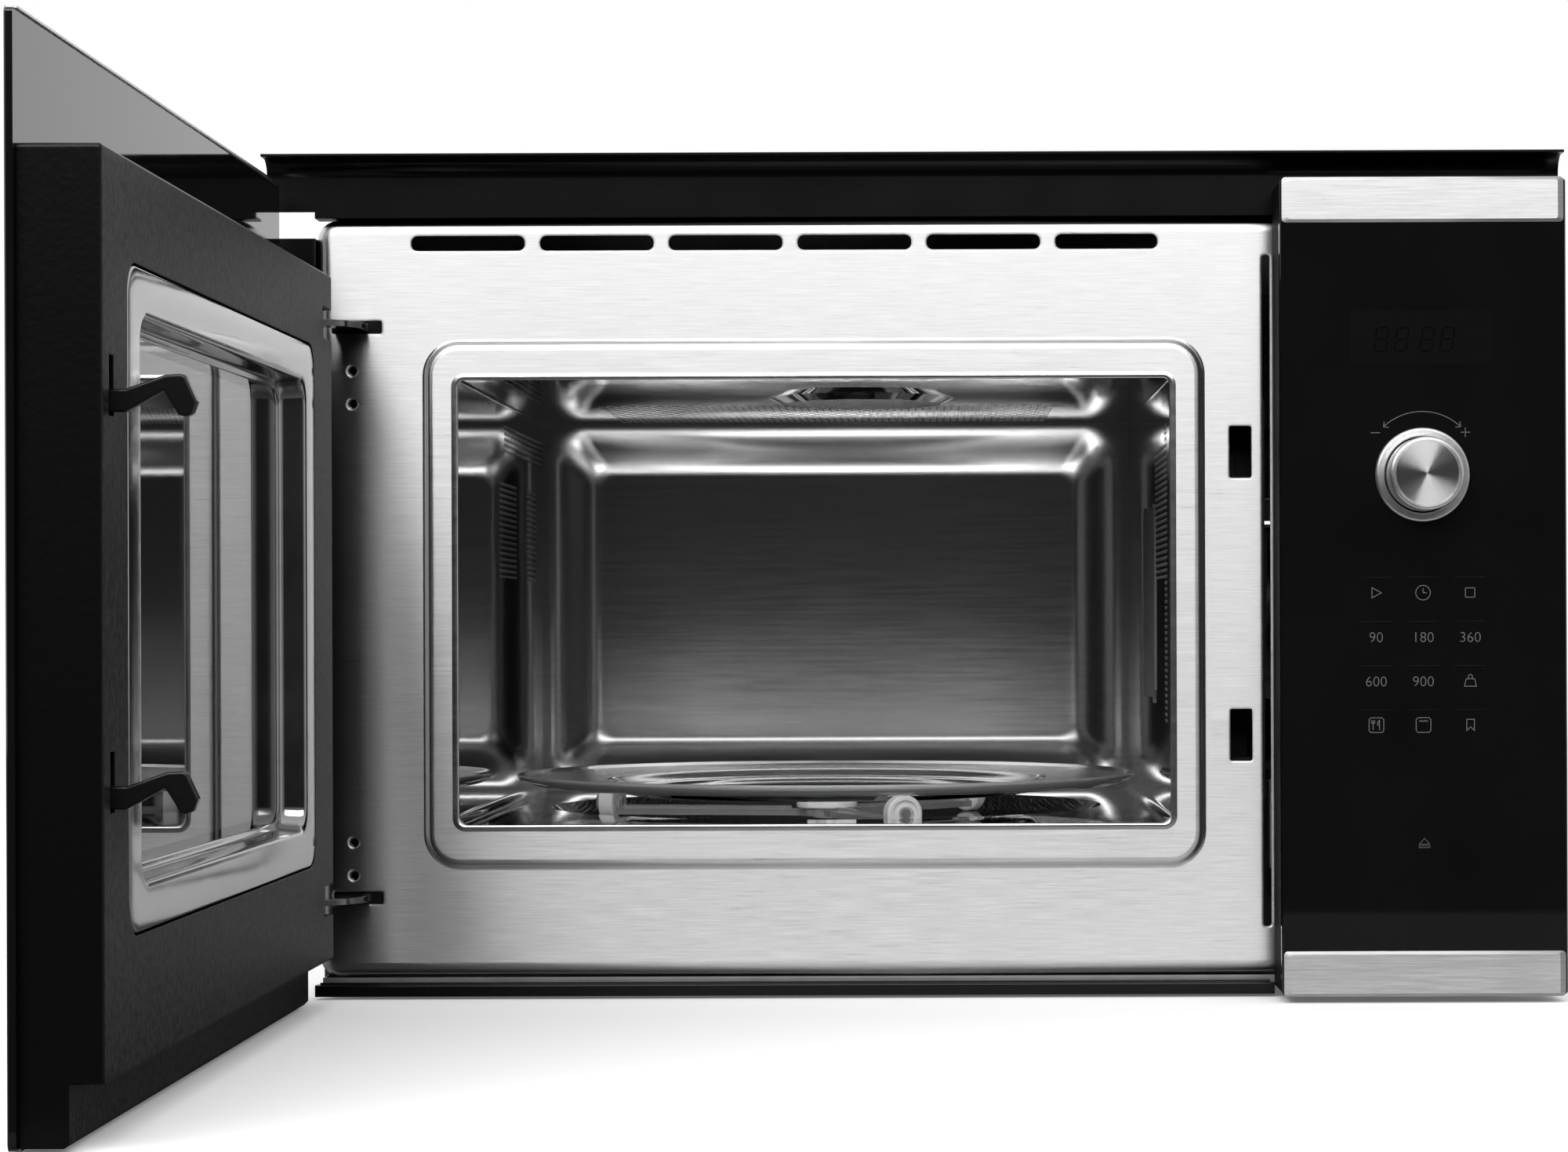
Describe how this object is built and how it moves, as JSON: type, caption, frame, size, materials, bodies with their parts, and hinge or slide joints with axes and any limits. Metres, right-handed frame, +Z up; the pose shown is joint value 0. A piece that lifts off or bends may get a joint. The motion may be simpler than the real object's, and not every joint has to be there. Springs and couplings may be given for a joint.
{
  "type": "built-in microwave oven",
  "caption": "Built-in microwave with grill: left-hinged mirror-glass door shown open, steel cavity with glass turntable, hooked latch, and a black glass control panel with a push-in dial.",
  "frame": {"origin": "middle of the appliance's body on the cabinet's front plane, at the height of the niche floor", "axes": "+X to the right seen from the kitchen, +Y back into the cabinet, +Z up"},
  "size_m": [0.5938, 0.8482, 0.3867],
  "materials": {
    "stainless": "fine brushing from side to side",
    "strip_steel": "fine brushing along the strip",
    "cavity_steel": "satin mill finish",
    "zinc_sheet": "galvanised",
    "black_enamel": "semi-gloss black",
    "mesh_black": "perforated and blackened",
    "black_glass": "black-backed polished glass",
    "clear_glass": "clear polished glass",
    "quartz": "frosted quartz",
    "black_plastic": "fine-grained black moulding",
    "knob_metal": "spun metal",
    "white_plastic": "heat-proof off-white moulding",
    "grey_plastic": "glass-filled moulding",
    "mica": "pressed mica sheet",
    "steel_bright": "turned and plated",
    "motor_steel": "plated steel",
    "core_steel": "varnished laminations",
    "can_aluminium": "drawn can",
    "circuit_board": "solder-masked board",
    "display": "smoked window",
    "rubber": "moulded rubber"
  },
  "bodies": {
    "root": {"face_plate": "stainless", "cavity_wrap": "cavity_steel", "cavity_floor": "cavity_steel", "cavity_back": "cavity_steel", "waveguide_cover": "mica", "grill_reflector": "zinc_sheet", "quartz_tubes": "quartz", "tray_motor": "motor_steel", "hinge_bracket_upper": "zinc_sheet", "hinge_bracket_lower": "zinc_sheet", "hinge_pins": "steel_bright", "control_glass": "black_glass", "control_housing": "black_plastic", "panel_strip_top": "strip_steel", "panel_strip_bottom": "strip_steel", "knob_bezel": "knob_metal", "encoder": "grey_plastic", "control_board": "circuit_board", "display_module": "display", "top_flange": "black_enamel", "side_bracket": "black_enamel", "bottom_sill": "black_enamel", "interlock_bracket": "grey_plastic", "door_switches": "grey_plastic", "door_opener": "motor_steel", "outer_casing": "zinc_sheet", "rear_cover": "zinc_sheet", "base_plate": "zinc_sheet", "feet": "rubber", "cable_gland": "rubber", "cover_screws": "steel_bright", "waveguide": "zinc_sheet", "magnetron": "motor_steel", "fan_duct": "grey_plastic", "fan_motor": "motor_steel", "transformer": "core_steel", "capacitor": "can_aluminium", "power_board": "circuit_board", "cavity_lamp": "motor_steel"},
    "door": {"door_glass": "black_glass", "door_strip_top": "strip_steel", "door_strip_bottom": "strip_steel", "door_frame": "black_plastic", "window_frame": "stainless", "window_pane": "clear_glass", "mesh_screen": "mesh_black", "hinge_plates": "zinc_sheet", "latch_spring": "steel_bright"},
    "latch": {"latch_bar": "grey_plastic"},
    "tray_drive": {"drive_hub": "white_plastic"},
    "tray": {"glass_tray": "clear_glass"},
    "roller_stay": {"roller_stay": "white_plastic"},
    "roller_1": {"roller_1": "white_plastic"},
    "roller_2": {"roller_2": "white_plastic"},
    "roller_3": {"roller_3": "white_plastic"},
    "dial": {"dial_shaft": "steel_bright"},
    "knob": {"knob_rim": "black_plastic", "knob_disc": "knob_metal"},
    "fan": {"fan_impeller": "grey_plastic"},
    "opener": {"opener_plunger": "steel_bright"}
  },
  "joints": [
    {"name": "door_hinge", "type": "hinge", "parent": "root", "child": "door", "pos_m": [-0.285, -0.028, 0.1765], "axis": [0, 0, 1], "range_deg": [0, 90]},
    {"name": "latch_slide", "type": "slide", "parent": "door", "child": "latch", "axis": [0, 0, 1], "range_m": [0, 0.008], "stiffness_N_per_m": 200, "springref_m": -0.004, "deforming": ["latch_spring"]},
    {"name": "tray_spin", "type": "hinge", "parent": "root", "child": "tray_drive", "pos_m": [-0.04585, 0.18, 0.08], "axis": [0, 0, 1], "continuous": true},
    {"name": "tray_lift", "type": "slide", "parent": "tray_drive", "child": "tray", "axis": [0, 0, 1], "range_m": [0, 0.05]},
    {"name": "stay_spin", "type": "hinge", "parent": "root", "child": "roller_stay", "pos_m": [-0.04585, 0.18, 0.0806], "axis": [0, 0, 1], "continuous": true},
    {"name": "roller_1_spin", "type": "hinge", "parent": "roller_stay", "child": "roller_1", "pos_m": [-0.00614, 0.07207, 0.0806], "axis": [0.3453, -0.9385, 0], "continuous": true},
    {"name": "roller_2_spin", "type": "hinge", "parent": "roller_stay", "child": "roller_2", "pos_m": [0.02776, 0.26835, 0.0806], "axis": [0.6401, 0.7683, 0], "continuous": true},
    {"name": "roller_3_spin", "type": "hinge", "parent": "roller_stay", "child": "roller_3", "pos_m": [-0.15917, 0.19957, 0.0806], "axis": [-0.9854, 0.1702, 0], "continuous": true},
    {"name": "dial_turn", "type": "hinge", "parent": "root", "child": "dial", "pos_m": [0.2293, -0.02, 0.238], "axis": [0, 1, 0], "continuous": true},
    {"name": "knob_push", "type": "slide", "parent": "dial", "child": "knob", "axis": [0, 1, 0], "range_m": [0, 0.0135], "stiffness_N_per_m": 100, "springref_m": -0.005},
    {"name": "fan_spin", "type": "hinge", "parent": "root", "child": "fan", "pos_m": [0.196, 0.27, 0.185], "axis": [0, 1, 0], "continuous": true},
    {"name": "opener_push", "type": "slide", "parent": "root", "child": "opener", "axis": [0, 0, 1], "range_m": [0, 0.008], "stiffness_N_per_m": 150, "springref_m": -0.004}
  ],
  "couplings": [
    {"joint": "stay_spin", "follows": "tray_spin", "ratio": 0.5},
    {"joint": "roller_1_spin", "follows": "tray_spin", "ratio": -6.4972},
    {"joint": "roller_2_spin", "follows": "tray_spin", "ratio": -6.4972},
    {"joint": "roller_3_spin", "follows": "tray_spin", "ratio": -6.4972}
  ]
}
